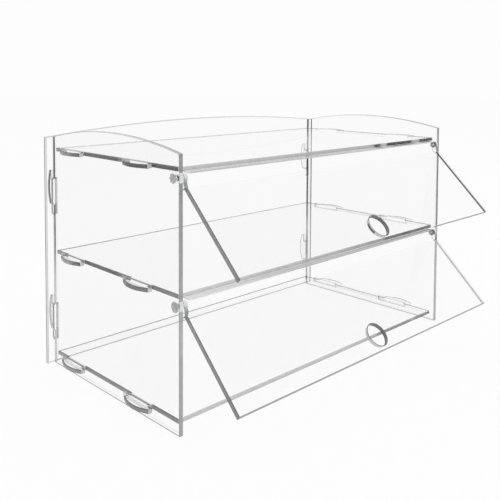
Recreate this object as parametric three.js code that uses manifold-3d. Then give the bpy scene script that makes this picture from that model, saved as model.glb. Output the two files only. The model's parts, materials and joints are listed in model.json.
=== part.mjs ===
// Countertop display case for pastries, built from flat clear acrylic sheets that lock together
// with hooks and slots. Two lift-up doors hang on small pivot screws between the side panels.
// Millimetres, +Z up. The front faces -Y, and X runs across the case.
import * as THREE from 'three';
import { mergeVertices } from 'three/addons/utils/BufferGeometryUtils.js';
import Module from 'manifold-3d';

const wasm = await Module();
wasm.setup();

// The sheet stock and the gaps left where pieces meet.
const sheetThickness = 4;
const sheetGap = 0.3;
const stackGap = 0.1;

// The case over its side panels. The upright panels' corners rise above the top shelf, and an
// arch rises above the corners.
const caseWidth = 440;
const sideDepth = 225;
const trayDepth = 13;
const archRise = 12;
const backOverhang = 8.5;

// The shelves, from the lowest up. They stop behind the side panels' front edges.
const bottomShelfTop = 12;
const shelfPitch = 116.5;
const shelfSetback = 7;

// The hooks on the shelves' ends. Each passes through a slot in a side panel and locks forward.
const shelfSlotStartShares = [0.207, 0.738];
const shelfSlotLength = 41.5;
const shelfLockShift = 6.3;
const shelfHookEndReach = 5.2;
const shelfHookMidReach = 10;

// The hooks on the side panels' rear edges. Each passes through the back panel and locks upward.
const backSlotStartShares = [0.107, 0.663];
const backSlotLength = 39.5;
const backLockShift = 9.6;
const backHookEndReach = 4.6;
const backHookMidReach = 8;
const hookCornerRadius = 1.4;

// The doors, with their size and place counted from the pivot line while a door is shut.
const doorOpenAngle = 45;
const doorSideGap = 2.2;
const doorTopDrop = 10;
const doorFloorGap = 0.5;
const doorMidSetback = 4.6;
const fingerHoleRadius = 12.4;
const fingerHoleRise = 17;

// The pivot line: how far it lies behind the front edges and below the shelf over the door.
const pivotSetback = 2.5;
const pivotDrop = 4.7;

// The hinge arms, flat plates between the doors' ends and the side panels.
const armSideGap = 0.4;
const eyeRadius = 3.9;
const pinRadius = 1.4;
const pinClearance = 0.07;
const panelHoleClearance = 0.12;
const eyeFrontShare = -0.6;
const eyeBackShare = 0.12;
const lowerArmFrontBulgeShare = -0.6;
const lowerArmBackBulgeShare = 0.75;
const upperArmFrontBulgeShare = 0.95;
const upperArmBackBulgeShare = 1.2;

// The hardware on each pivot, stacked along its axis. A left pivot has a thumbscrew outside the
// panel, over a washer and a collar. A right pivot has a low-headed pin, with its collar inside.
const nutLength = 2;
const nutRadius = 3.9;
const pinTipLength = 0.3;
const washerThickness = 0.5;
const washerRadius = 4.9;
const collarLength = 1.7;
const collarRadius = 2.9;
const innerCollarLength = 1.2;
const innerCollarRadius = 3.7;
const screwNeckRadius = 2.2;
const plainHeadRadius = 5.2;
const plainHeadThickness = 1;
const plainHeadStandoff = 0.2;
const lobedHeadTipRadius = 5.2;
const lobedHeadValleyRadius = 4.2;
const lobedHeadThickness = 2.4;
const lobedHeadStandoff = 0.7;
const lobeCount = 8;
const lowHeadRadius = 2.6;
const lowHeadThickness = 0.9;
const hardwareEdgeBreak = 0.2;

// The thin strips bonded under the fronts of the two upper shelves.
const stripThickness = 1.6;
const stripFrontSetback = 0.5;
const stripOverlap = 5;
const stripEndGap = 0.6;

// How finely curves are divided.
const archSegments = 40;
const hookSegments = 9;
const holeSegments = 64;
const hardwareSegments = 28;
const lobeSteps = 7;

// Places that follow from the sizes.
const innerHalfWidth = caseWidth / 2 - sheetThickness;
const outerHalfWidth = caseWidth / 2;
const slotWidth = sheetThickness + 2 * sheetGap;
const hookInnerReach = sheetThickness + 2 * sheetGap;
const backFront = sideDepth + sheetGap;
const shelfTops = [bottomShelfTop, bottomShelfTop + shelfPitch, bottomShelfTop + 2 * shelfPitch];
const cornerHeight = shelfTops[2] + trayDepth;
const doorReach = shelfPitch - sheetThickness - pivotDrop - doorFloorGap;
const doorHalfWidth = innerHalfWidth - doorSideGap;
const eyeHoleRadius = pinRadius + pinClearance;
const panelHoleRadius = pinRadius + panelHoleClearance;
const armInnerFace = innerHalfWidth - armSideGap - sheetThickness;
const innerCollarFace = armInnerFace - stackGap - innerCollarLength;
const leftNutFace = armInnerFace - stackGap - nutLength;
const rightNutFace = innerCollarFace - stackGap - nutLength;
const leftTip = leftNutFace - pinTipLength;
const rightTip = rightNutFace - pinTipLength;
const collarOuterFace = outerHalfWidth + stackGap + washerThickness + stackGap + collarLength;

const clearAcrylic = { color: 0xf2f5f6, roughness: 0.05, metalness: 0, opacity: 0.3 };
const clearNylon = { color: 0xe9ecee, roughness: 0.25, metalness: 0, opacity: 0.75 };
const darkRubber = { color: 0x35383b, roughness: 0.6, metalness: 0, opacity: 1 };

function meshOf(name, geometry, look) {
  const material = new THREE.MeshStandardMaterial({ ...look, transparent: look.opacity < 1 });
  const mesh = new THREE.Mesh(geometry, material);
  mesh.name = name;
  return mesh;
}

// Turns a flat outline drawn in x and y into a sheet that stands across or along the case.
function faceForward(mesh, rearFace) {
  mesh.rotation.x = Math.PI / 2;
  mesh.position.y = rearFace;
  return mesh;
}

function faceSideways(mesh, lowFace) {
  const across = new THREE.Vector3(1, 0, 0);
  const back = new THREE.Vector3(0, 1, 0);
  const up = new THREE.Vector3(0, 0, 1);
  mesh.quaternion.setFromRotationMatrix(new THREE.Matrix4().makeBasis(back, up, across));
  mesh.position.x = lowFace;
  return mesh;
}

// A geometry as a solid that can be joined and cut, and back again.
function solidOf(geometry) {
  const bare = geometry.clone();
  bare.deleteAttribute('normal');
  bare.deleteAttribute('uv');
  const merged = mergeVertices(bare);
  const corners = merged.index.array;
  const kept = [];
  for (let first = 0; first < corners.length; first += 3) {
    const [a, b, c] = corners.slice(first, first + 3);
    if (a !== b && b !== c && c !== a) {
      kept.push(a, b, c);
    }
  }
  const vertProperties = new Float32Array(merged.attributes.position.array);
  const triVerts = new Uint32Array(kept);
  return new wasm.Manifold(new wasm.Mesh({ numProp: 3, vertProperties, triVerts }));
}

function geometryOf(solid) {
  const { vertProperties, triVerts } = solid.getMesh();
  const geometry = new THREE.BufferGeometry();
  geometry.setAttribute('position', new THREE.BufferAttribute(vertProperties, 3));
  geometry.setIndex(new THREE.BufferAttribute(triVerts, 1));
  geometry.computeVertexNormals();
  return geometry;
}

// A flat sheet of the given outline, with each hole cut right through it.
function cutSheet(outline, holes, thickness) {
  const blank = { depth: thickness, bevelEnabled: false };
  const sheet = new THREE.ExtrudeGeometry(new THREE.Shape(outline), blank);
  if (holes.length === 0) {
    return sheet;
  }
  let solid = solidOf(sheet);
  for (const hole of holes) {
    const cutter = { depth: 3 * thickness, bevelEnabled: false };
    const geometry = new THREE.ExtrudeGeometry(new THREE.Shape(hole), cutter);
    solid = solid.subtract(solidOf(geometry.translate(0, 0, -thickness)));
  }
  return geometryOf(solid);
}

function circle(centreX, centreY, radius, segments) {
  const points = [];
  for (let step = 0; step < segments; step += 1) {
    const angle = (2 * Math.PI * step) / segments;
    const x = centreX + radius * Math.cos(angle);
    points.push(new THREE.Vector2(x, centreY + radius * Math.sin(angle)));
  }
  return points;
}

function rectangle(lowX, lowY, highX, highY) {
  return [
    new THREE.Vector2(lowX, lowY),
    new THREE.Vector2(highX, lowY),
    new THREE.Vector2(highX, highY),
    new THREE.Vector2(lowX, highY),
  ];
}

// The arched top edge, from the high-x corner to the low-x corner.
function archEdge(lowX, highX) {
  const halfSpan = (highX - lowX) / 2;
  const radius = (halfSpan * halfSpan + archRise * archRise) / (2 * archRise);
  const middle = (lowX + highX) / 2;
  const centreHeight = cornerHeight + archRise - radius;
  const halfAngle = Math.asin(halfSpan / radius);
  const points = [];
  for (let step = 0; step <= archSegments; step += 1) {
    const angle = halfAngle - (2 * halfAngle * step) / archSegments;
    const height = centreHeight + radius * Math.cos(angle);
    points.push(new THREE.Vector2(middle + radius * Math.sin(angle), height));
  }
  return points;
}

// One lock hook: a neck through the slot, and a bar behind it with a bowed outer edge.
// x runs along the slot from the neck's locking end, y runs out from the sheet's own edge.
function hookProfile(slotLength, lockShift, endReach, midReach) {
  const neck = slotLength - 2 * sheetGap - lockShift;
  const endOut = hookInnerReach - sheetGap + endReach;
  const midOut = hookInnerReach - sheetGap + midReach;
  const middle = (neck - lockShift) / 2;
  const corner = hookCornerRadius;
  const path = new THREE.Path();
  path.moveTo(0, 0);
  path.lineTo(0, hookInnerReach);
  path.lineTo(-lockShift, hookInnerReach);
  path.lineTo(-lockShift, endOut - corner);
  path.quadraticCurveTo(-lockShift, endOut, corner - lockShift, endOut);
  path.quadraticCurveTo(middle, 2 * midOut - endOut, neck - corner, endOut);
  path.quadraticCurveTo(neck, endOut, neck, endOut - corner);
  path.lineTo(neck, 0);
  return path.getPoints(hookSegments);
}

function shelfSlotStarts() {
  return shelfSlotStartShares.map((share) => share * sideDepth);
}

function backSlotStarts() {
  return backSlotStartShares.map((share) => share * cornerHeight);
}

function pivotHeights() {
  return [shelfTops[1], shelfTops[2]].map((top) => top - sheetThickness - pivotDrop);
}

// One side panel: arched top, three pairs of shelf slots, two pivot holes and two rear hooks.
function sidePanel(name, lowFace) {
  const hook = hookProfile(backSlotLength, backLockShift, backHookEndReach, backHookMidReach);
  const outline = [new THREE.Vector2(0, 0), new THREE.Vector2(sideDepth, 0)];
  for (const start of backSlotStarts()) {
    const lockEnd = start + backSlotLength - sheetGap;
    for (const point of [...hook].reverse()) {
      outline.push(new THREE.Vector2(sideDepth + point.y, lockEnd - point.x));
    }
  }
  outline.push(...archEdge(0, sideDepth));
  const holes = pivotHeights().map((height) =>
    circle(pivotSetback, height, panelHoleRadius, hardwareSegments));
  for (const top of shelfTops) {
    for (const start of shelfSlotStarts()) {
      const low = top - sheetThickness - sheetGap;
      holes.push(rectangle(start, low, start + shelfSlotLength, low + slotWidth));
    }
  }
  return faceSideways(meshOf(name, cutSheet(outline, holes, sheetThickness), clearAcrylic), lowFace);
}

// The back panel overhangs both side panels and has four slots for their rear hooks.
function backPanel() {
  const half = outerHalfWidth + backOverhang;
  const outline = [new THREE.Vector2(-half, 0), new THREE.Vector2(half, 0), ...archEdge(-half, half)];
  const holes = [];
  for (const start of backSlotStarts()) {
    for (const low of [-outerHalfWidth - sheetGap, innerHalfWidth - sheetGap]) {
      holes.push(rectangle(low, start, low + slotWidth, start + backSlotLength));
    }
  }
  const mesh = meshOf('back_panel', cutSheet(outline, holes, sheetThickness), clearAcrylic);
  return faceForward(mesh, backFront + sheetThickness);
}

// One shelf with two hooks on each end. Its outline runs up the right end and down the left.
function shelf(name, top) {
  const hook = hookProfile(shelfSlotLength, shelfLockShift, shelfHookEndReach, shelfHookMidReach);
  const end = innerHalfWidth - sheetGap;
  const rightEnd = [new THREE.Vector2(end, shelfSetback)];
  for (const start of shelfSlotStarts()) {
    for (const point of hook) {
      rightEnd.push(new THREE.Vector2(end + point.y, start + sheetGap + point.x));
    }
  }
  rightEnd.push(new THREE.Vector2(end, sideDepth));
  const leftEnd = rightEnd.map((point) => new THREE.Vector2(-point.x, point.y)).reverse();
  const mesh = meshOf(name, cutSheet([...rightEnd, ...leftEnd], [], sheetThickness), clearAcrylic);
  mesh.position.z = top - sheetThickness;
  return mesh;
}

// One thin strip under a shelf's front margin, standing out to the side panels' front edges.
function frontStrip(name, top) {
  const half = rightTip - stripEndGap;
  const outline = rectangle(-half, stripFrontSetback, half, shelfSetback + stripOverlap);
  const mesh = meshOf(name, cutSheet(outline, [], stripThickness), clearAcrylic);
  mesh.position.z = top - sheetThickness - stackGap - stripThickness;
  return mesh;
}

// One door, hanging shut below its pivot line, with a round finger hole near the lower edge.
function door(name) {
  const outline = rectangle(-doorHalfWidth, -doorReach, doorHalfWidth, -doorTopDrop);
  const hole = circle(0, fingerHoleRise - doorReach, fingerHoleRadius, holeSegments);
  const mesh = meshOf(name, cutSheet(outline, [hole], sheetThickness), clearAcrylic);
  return faceForward(mesh, doorMidSetback + sheetThickness / 2);
}

// One hinge arm: an eye round the pivot, swept back and down to a foot on the door's top edge.
function hingeArm(name, lowFace, frontBulgeShare, backBulgeShare) {
  const footHeight = sheetGap - doorTopDrop;
  const footFront = doorMidSetback - sheetThickness / 2;
  const footBack = doorMidSetback + sheetThickness / 2;
  const frontAngle = eyeFrontShare * Math.PI;
  const backAngle = eyeBackShare * Math.PI;
  const shape = new THREE.Shape();
  shape.moveTo(footBack, footHeight);
  shape.quadraticCurveTo(
    footBack * backBulgeShare, footHeight / 3,
    eyeRadius * Math.cos(backAngle), eyeRadius * Math.sin(backAngle));
  shape.absarc(0, 0, eyeRadius, backAngle, 2 * Math.PI + frontAngle, false);
  shape.quadraticCurveTo(footFront * frontBulgeShare, footHeight * 2 / 3, footFront, footHeight);
  const outline = shape.getPoints(hookSegments);
  const hole = circle(0, 0, eyeHoleRadius, hardwareSegments);
  return faceSideways(meshOf(name, cutSheet(outline, [hole], sheetThickness), clearAcrylic), lowFace);
}

// Points a turned piece's axis outward from the case, with its own zero on the centre plane.
function pointOutward(mesh, side) {
  mesh.rotation.z = -side * Math.PI / 2;
  return mesh;
}

function turned(profile) {
  const points = profile.map(([radius, along]) => new THREE.Vector2(radius, along));
  return new THREE.LatheGeometry(points, hardwareSegments);
}

// A ring turned on the pivot axis, with its outer edges broken.
function ring(holeRadius, radius, low, high) {
  const edge = hardwareEdgeBreak;
  return turned([
    [holeRadius, low], [radius - edge, low], [radius, low + edge],
    [radius, high - edge], [radius - edge, high], [holeRadius, high], [holeRadius, low],
  ]);
}

// A thumbscrew with a plain disc for a head.
function plainThumbscrew() {
  const collarEnd = collarOuterFace + stackGap;
  const headLow = collarEnd + plainHeadStandoff;
  const headHigh = headLow + plainHeadThickness;
  const edge = hardwareEdgeBreak;
  return turned([
    [0, leftTip], [pinRadius - edge, leftTip], [pinRadius, leftTip + edge], [pinRadius, collarEnd],
    [screwNeckRadius, collarEnd], [screwNeckRadius, headLow], [plainHeadRadius - edge, headLow],
    [plainHeadRadius, headLow + edge], [plainHeadRadius, headHigh - edge],
    [plainHeadRadius - edge, headHigh], [0, headHigh],
  ]);
}

// A thumbscrew whose head has rounded lobes for the fingers, joined to the turned screw.
function lobedThumbscrew() {
  const collarEnd = collarOuterFace + stackGap;
  const headLow = collarEnd + lobedHeadStandoff;
  const headHigh = headLow + lobedHeadThickness;
  const edge = hardwareEdgeBreak;
  const screw = turned([
    [0, leftTip], [pinRadius - edge, leftTip], [pinRadius, leftTip + edge], [pinRadius, collarEnd],
    [screwNeckRadius, collarEnd], [screwNeckRadius, headHigh - edge], [0, headHigh - edge],
  ]);
  const outline = [];
  const steps = lobeCount * lobeSteps;
  for (let step = 0; step < steps; step += 1) {
    const angle = (2 * Math.PI * step) / steps;
    const share = (1 + Math.cos(lobeCount * angle)) / 2;
    const radius = lobedHeadValleyRadius + (lobedHeadTipRadius - lobedHeadValleyRadius) * share;
    outline.push(new THREE.Vector2(radius * Math.cos(angle), radius * Math.sin(angle)));
  }
  const head = cutSheet(outline, [], lobedHeadThickness);
  head.rotateX(-Math.PI / 2);
  head.translate(0, headLow, 0);
  return geometryOf(solidOf(screw).add(solidOf(head)));
}

// A pin with a low flat head, which lies against the panel's outer face.
function lowHeadedPin() {
  const headLow = outerHalfWidth + stackGap;
  const headHigh = headLow + lowHeadThickness;
  const edge = hardwareEdgeBreak;
  return turned([
    [0, rightTip], [pinRadius - edge, rightTip], [pinRadius, rightTip + edge], [pinRadius, headLow],
    [lowHeadRadius, headLow], [lowHeadRadius, headHigh - edge], [lowHeadRadius - edge, headHigh],
    [0, headHigh],
  ]);
}

// A ring that stands round the pivot, from its inner face outward along the axis.
function ringOnPivot(name, radius, innerFace, length, look) {
  return meshOf(name, ring(panelHoleRadius, radius, innerFace, innerFace + length), look);
}

// What stays with the case on a left pivot: screw, collar and washer outside, nut inside.
function leftPivot(prefix, height, screw) {
  const washerLow = outerHalfWidth + stackGap;
  const collarLow = washerLow + washerThickness + stackGap;
  return pivotHardware(-1, height, [
    meshOf(`${prefix}_left_thumbscrew`, screw, clearNylon),
    ringOnPivot(`${prefix}_left_washer`, washerRadius, washerLow, washerThickness, clearNylon),
    ringOnPivot(`${prefix}_left_collar`, collarRadius, collarLow, collarLength, darkRubber),
    ringOnPivot(`${prefix}_left_nut`, nutRadius, leftNutFace, nutLength, clearNylon),
  ]);
}

// What stays with the case on a right pivot: pin from outside, collar and nut inside.
function rightPivot(prefix, height) {
  return pivotHardware(1, height, [
    meshOf(`${prefix}_right_pin`, lowHeadedPin(), clearNylon),
    ringOnPivot(
      `${prefix}_right_collar`, innerCollarRadius, innerCollarFace, innerCollarLength, darkRubber),
    ringOnPivot(`${prefix}_right_nut`, nutRadius, rightNutFace, nutLength, clearNylon),
  ]);
}

function pivotHardware(side, height, pieces) {
  const group = new THREE.Group();
  group.position.set(0, pivotSetback, height);
  group.add(...pieces.map((piece) => pointOutward(piece, side)));
  return group;
}

// One door with its two arms, turned about the pivot line to the angle that it rests at.
function doorOnArms(prefix, height, frontBulgeShare, backBulgeShare) {
  const group = new THREE.Group();
  group.position.set(0, pivotSetback, height);
  group.rotation.x = -THREE.MathUtils.degToRad(doorOpenAngle);
  group.add(door(`${prefix}_door`));
  for (const [word, face] of [['left', -armInnerFace - sheetThickness], ['right', armInnerFace]]) {
    group.add(hingeArm(`${prefix}_${word}_hinge_arm`, face, frontBulgeShare, backBulgeShare));
  }
  return group;
}

function displayCase() {
  const group = new THREE.Group();
  const [lowerPivot, upperPivot] = pivotHeights();
  group.add(backPanel());
  group.add(sidePanel('left_side_panel', -outerHalfWidth));
  group.add(sidePanel('right_side_panel', innerHalfWidth));
  group.add(shelf('bottom_shelf', shelfTops[0]));
  group.add(shelf('middle_shelf', shelfTops[1]));
  group.add(shelf('top_shelf', shelfTops[2]));
  group.add(frontStrip('middle_front_strip', shelfTops[1]));
  group.add(frontStrip('top_front_strip', shelfTops[2]));
  group.add(doorOnArms('lower', lowerPivot, lowerArmFrontBulgeShare, lowerArmBackBulgeShare));
  group.add(doorOnArms('upper', upperPivot, upperArmFrontBulgeShare, upperArmBackBulgeShare));
  group.add(leftPivot('lower', lowerPivot, plainThumbscrew()));
  group.add(leftPivot('upper', upperPivot, lobedThumbscrew()));
  group.add(rightPivot('lower', lowerPivot));
  group.add(rightPivot('upper', upperPivot));
  return group;
}

// The origin lies under the middle of the whole object, with the doors as they rest.
const root = new THREE.Group();
const caseGroup = displayCase();
root.add(caseGroup);
const extent = new THREE.Box3().setFromObject(caseGroup, true);
caseGroup.position.y = -(extent.min.y + extent.max.y) / 2;

export default root;
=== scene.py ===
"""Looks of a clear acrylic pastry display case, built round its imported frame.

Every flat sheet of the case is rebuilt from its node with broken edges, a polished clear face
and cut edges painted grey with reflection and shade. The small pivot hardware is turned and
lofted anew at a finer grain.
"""

import json
import logging
import math
from dataclasses import dataclass, field
from enum import Enum
from typing import Any, Dict, Iterable, List, Optional, Sequence, Tuple, Union

import bmesh
import bpy
from mathutils import Matrix, Vector

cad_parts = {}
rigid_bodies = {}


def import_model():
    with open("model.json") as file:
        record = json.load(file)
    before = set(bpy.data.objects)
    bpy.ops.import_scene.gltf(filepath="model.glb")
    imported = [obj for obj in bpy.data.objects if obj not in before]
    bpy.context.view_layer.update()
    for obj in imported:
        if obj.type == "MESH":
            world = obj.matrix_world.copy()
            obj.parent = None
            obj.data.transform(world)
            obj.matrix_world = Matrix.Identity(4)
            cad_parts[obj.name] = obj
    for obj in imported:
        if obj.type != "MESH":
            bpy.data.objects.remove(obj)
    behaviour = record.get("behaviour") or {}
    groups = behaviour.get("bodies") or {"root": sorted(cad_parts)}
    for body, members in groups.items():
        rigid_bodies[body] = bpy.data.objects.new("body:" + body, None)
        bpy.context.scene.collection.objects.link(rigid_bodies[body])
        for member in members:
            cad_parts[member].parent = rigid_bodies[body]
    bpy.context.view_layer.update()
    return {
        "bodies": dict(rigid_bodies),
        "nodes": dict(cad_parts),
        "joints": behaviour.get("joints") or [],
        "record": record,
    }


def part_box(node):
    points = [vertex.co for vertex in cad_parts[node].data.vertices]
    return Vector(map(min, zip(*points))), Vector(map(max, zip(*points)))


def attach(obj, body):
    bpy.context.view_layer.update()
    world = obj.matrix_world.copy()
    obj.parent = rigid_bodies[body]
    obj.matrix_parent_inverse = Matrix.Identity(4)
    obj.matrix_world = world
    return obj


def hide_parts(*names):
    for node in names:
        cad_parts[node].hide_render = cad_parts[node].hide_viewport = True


LOG = logging.getLogger("pastry_case")

Number = Union[int, float]
Colour = Tuple[float, float, float]
Point = Tuple[float, float]
Place = Tuple[float, float, float]
Stops = Tuple[Point, ...]

ACRYLIC_IOR = 1.49
NYLON_IOR = 1.5
# Lengths that several sheets share, in metres: half the case's width over its hooks, the front and
# rear edges of its side panels, a hair in front of the rear ones, the back panel's rear face, and
# the height.
REACH = 0.23
FRONT = -0.0829
REAR = 0.1425
NEAR_REAR = 0.1424
BEHIND = 0.1465
HEIGHT = 0.27


@dataclass(frozen=True)
class Pivot:
    """The pivots of one door: their height, and the lobes and depth of the left knob's head."""

    height: float
    lobes: int
    head_depth: float


PIVOTS = {"lower": Pivot(0.1198, 0, 0.001), "upper": Pivot(0.2363, 8, 0.0024)}


def linear(tone: Number) -> float:
    """Turn a grey of 0 to 255, as seen on a screen, into linear light.

    Args:
        tone: The grey on the screen's scale.

    Returns:
        The same grey in linear light, from 0 to 1.
    """
    share = tone / 255
    return share / 12.92 if share <= 0.04045 else ((share + 0.055) / 1.055) ** 2.4


def grey(tone: Number) -> Colour:
    """Return the linear colour of a screen grey."""
    return (linear(tone),) * 3


class Side(Enum):
    """The directions that a sheet's cut edges and faces look in, in the case's own frame."""

    LEFT = (-1.0, 0.0, 0.0)
    RIGHT = (1.0, 0.0, 0.0)
    FRONT = (0.0, -1.0, 0.0)
    BACK = (0.0, 1.0, 0.0)
    BOTTOM = (0.0, 0.0, -1.0)
    TOP = (0.0, 0.0, 1.0)

    @property
    def vector(self) -> Vector:
        """Return the direction as a vector."""
        return Vector(self.value)

    @property
    def word(self) -> str:
        """Return the side's word, as the names of the pieces have it."""
        return self.name.lower()


class Axis(Enum):
    """The axis that a tone runs along, as the output it has on a Separate XYZ node."""

    ACROSS = "X"
    DEPTH = "Y"
    HEIGHT = "Z"


class Signal:
    """A node socket whose value can be used in Python expressions.

    Each operator adds the Math node that works it out, so a mask is written as it is read.
    """

    def __init__(self, board: "Board", socket: bpy.types.NodeSocket) -> None:
        """Keep the socket and the board that its node stands on."""
        self.board = board
        self.socket = socket

    def _math(self, operation: str, first: Any, second: Any) -> "Signal":
        """Add one Math node and return its output."""
        return self.board.node("ShaderNodeMath", {"operation": operation}, {0: first, 1: second})

    def __add__(self, other: Any) -> "Signal":
        """Return this value plus another."""
        return self._math("ADD", self, other)

    __radd__ = __add__

    def __sub__(self, other: Any) -> "Signal":
        """Return this value less another."""
        return self._math("SUBTRACT", self, other)

    def __rsub__(self, other: Any) -> "Signal":
        """Return another value less this one."""
        return self._math("SUBTRACT", other, self)

    def __mul__(self, other: Any) -> "Signal":
        """Return this value times another."""
        return self._math("MULTIPLY", self, other)

    __rmul__ = __mul__

    def __truediv__(self, other: Any) -> "Signal":
        """Return this value over another."""
        return self._math("DIVIDE", self, other)

    def highest(self, other: Any) -> "Signal":
        """Return the larger of this value and another."""
        return self._math("MAXIMUM", self, other)


class Board:
    """The node tree of one material or world, with one way to add any node."""

    def __init__(self, owner: Union[bpy.types.Material, bpy.types.World]) -> None:
        """Keep the owner and empty its node tree.

        Args:
            owner: The material or world.
        """
        self.owner = owner
        owner.use_nodes = True
        self.tree = owner.node_tree
        self.tree.nodes.clear()

    def node(
        self,
        kind: str,
        settings: Optional[Dict[str, Any]] = None,
        inputs: Optional[Dict[Union[int, str], Any]] = None,
        output: Union[int, str] = 0,
    ) -> Signal:
        """Add a node, set it up and return one of its outputs.

        Args:
            kind: The node's type name.
            settings: Properties set before the sockets, such as an operation, or "stops" of a ramp.
            inputs: Values or signals for its sockets, by name or number.
            output: The output to return, by name or number.

        Returns:
            The output as a signal.
        """
        made = self.tree.nodes.new(kind)
        for name, value in (settings or {}).items():
            if name == "stops":
                self._fill_ramp(made.color_ramp, value)
            else:
                setattr(made, name, value)
        for name, value in (inputs or {}).items():
            socket = made.inputs[name]
            if isinstance(value, Signal):
                self.tree.links.new(value.socket, socket)
            elif isinstance(value, tuple) and len(value) == 3 and socket.type == "RGBA":
                socket.default_value = (*value, 1.0)
            else:
                socket.default_value = value
        return Signal(self, made.outputs[output])

    @staticmethod
    def _fill_ramp(ramp: bpy.types.ColorRamp, stops: Sequence[Tuple[float, Colour]]) -> None:
        """Put the given stops on a colour ramp.

        Args:
            ramp: The ramp to fill.
            stops: Places from 0 to 1 with their linear colours, in order.
        """
        while len(ramp.elements) < len(stops):
            ramp.elements.new(0.5)
        for element, (place, colour) in zip(ramp.elements, stops):
            element.position = place
            element.color = (*colour, 1.0)

    def mix(self, share: Any, first: Any, second: Any) -> Signal:
        """Mix two colours.

        Args:
            share: How much of the second colour shows.
            first: The first colour, as a signal or three numbers.
            second: The second colour.

        Returns:
            The mixed colour.
        """
        settings = {"data_type": "RGBA", "blend_type": "MIX", "clamp_factor": True}
        return self.node("ShaderNodeMix", settings, {0: share, 6: first, 7: second}, output=2)

    def place(self) -> Signal:
        """Return the point on the surface, in the object's own metres."""
        return self.node("ShaderNodeTexCoord", output="Object")

    def in_front(self) -> Signal:
        """Return 1 where a face is met from outside its sheet, and 0 from inside."""
        return 1 - self.node("ShaderNodeNewGeometry", output="Backfacing")

    def along(self, axis: Axis) -> Signal:
        """Return the point's distance along one axis, in metres."""
        return self.node("ShaderNodeSeparateXYZ", None, {"Vector": self.place()}, output=axis.value)

    def noise(self, scale: float, detail: float = 3.0, stretch: Sequence[float] = (1, 1, 1)) -> Signal:
        """Return a smooth noise of 0 to 1.

        Args:
            scale: How many cells fit in a metre.
            detail: How many finer layers it has.
            stretch: How much finer it is along each axis.

        Returns:
            The noise's value.
        """
        settings = {"operation": "MULTIPLY"}
        stretched = self.node("ShaderNodeVectorMath", settings, {0: self.place(), 1: tuple(stretch)})
        values = {"Vector": stretched, "Scale": scale, "Detail": detail}
        return self.node("ShaderNodeTexNoise", None, values, output=0)

    def bump(self, height: Signal, strength: float, distance: float) -> Signal:
        """Return a bumped normal.

        Args:
            height: The surface's height.
            strength: How much of it shows.
            distance: How many metres one unit of height stands for.

        Returns:
            The normal.
        """
        return self.node(
            "ShaderNodeBump", None, {"Height": height, "Strength": strength, "Distance": distance})

    def finish(self, shader: Signal, target: str = "ShaderNodeOutputMaterial") -> None:
        """Link a shader to the tree's output node."""
        made = self.tree.nodes.new(target)
        self.tree.links.new(shader.socket, made.inputs["Surface"])

    def layer(self, share: Signal, clear: Colour, skin: Signal) -> None:
        """Finish a blended material with a skin over a see-through layer.

        Args:
            share: How much of the skin shows.
            clear: The colour that the see-through layer lets pass.
            skin: The skin's shader.
        """
        under = self.node("ShaderNodeBsdfTransparent", None, {"Color": clear})
        self.finish(self.node("ShaderNodeMixShader", None, {0: share, 1: under, 2: skin}))
        self.owner.surface_render_method = "BLENDED"


def new_material(name: str) -> Tuple[bpy.types.Material, Board]:
    """Make an empty node material.

    Args:
        name: The material's name.

    Returns:
        The material and its board.
    """
    material = bpy.data.materials.new(name)
    return material, Board(material)


@dataclass(frozen=True)
class PolishedFace:
    """The broad faces of a clear acrylic sheet: nearly all see-through, with a glossy skin.

    The skin and the haze lie on the side that a face is seen from, so a sheet shows them once.
    """

    name: str = "polished_acrylic_face"
    clearness: float = 0.988
    gloss_share: float = 0.3
    roughness: float = 0.012
    haze: float = 0.03
    wipe_scale: float = 9.0
    wipe_stretch: Place = (1.0, 2.2, 1.4)
    wipe_tones: Point = (240, 250)
    wipe_roughness: float = 0.03

    def material(self) -> bpy.types.Material:
        """Build the face's material: a clear layer, a faint uneven haze and a Fresnel gloss.

        Returns:
            The new material.
        """
        material, board = new_material(self.name)
        wipe = board.noise(self.wipe_scale, 4.0, self.wipe_stretch)
        skin = board.node("ShaderNodeBsdfPrincipled", None, {
            "Base Color": board.mix(wipe, *map(grey, self.wipe_tones)),
            "Roughness": self.roughness + self.wipe_roughness * wipe,
            "IOR": ACRYLIC_IOR,
        })
        glance = board.node("ShaderNodeFresnel", None, {"IOR": ACRYLIC_IOR})
        share = (self.gloss_share * glance + self.haze * wipe) * board.in_front()
        board.layer(share, (self.clearness,) * 3, skin)
        return material


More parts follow.
